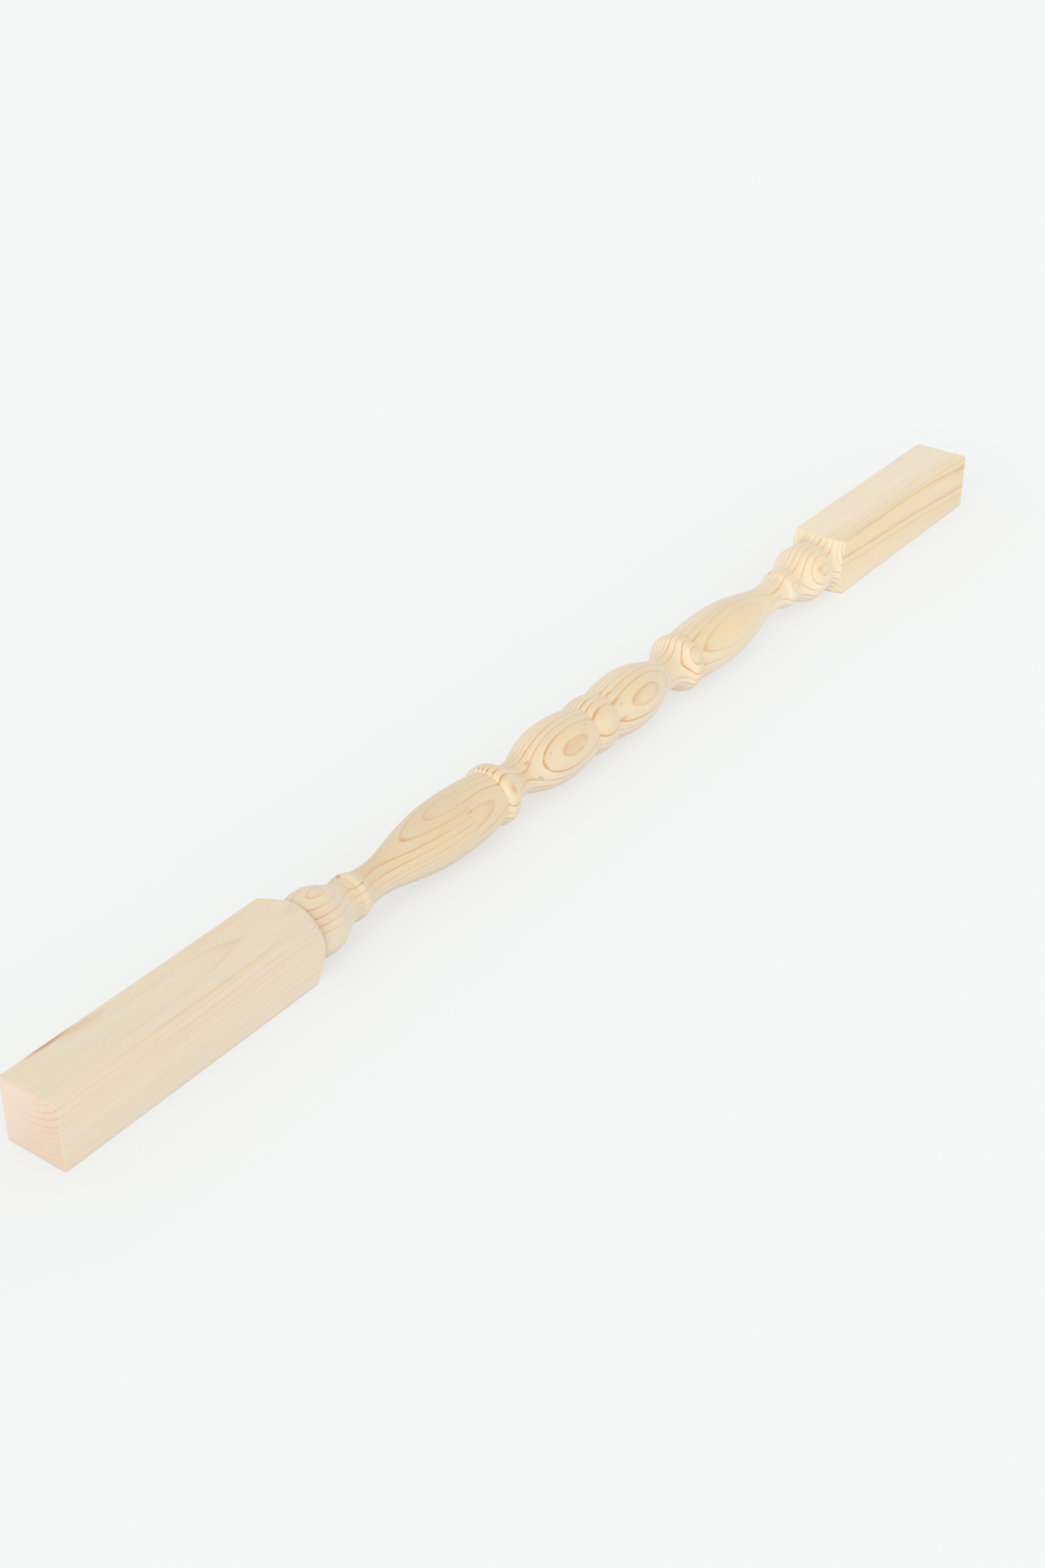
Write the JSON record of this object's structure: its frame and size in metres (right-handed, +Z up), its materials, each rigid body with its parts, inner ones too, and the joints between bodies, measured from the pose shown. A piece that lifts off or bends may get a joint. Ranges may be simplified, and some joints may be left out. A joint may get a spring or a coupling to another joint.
{
  "type": "turned baluster",
  "caption": "Turned pine baluster: a slender spindle of vases, ovals, beads and coves between two square end blocks.",
  "frame": {"origin": "under the middle of the baluster, on the surface that its blocks lie on", "axes": "+X along the baluster from one end block to the other, +Z up from the lying blocks"},
  "size_m": [0.9, 0.039, 0.039],
  "materials": {
    "pine": "bare, planed and turned, not varnished"
  },
  "bodies": {
    "root": {"baluster": "pine"}
  },
  "joints": []
}
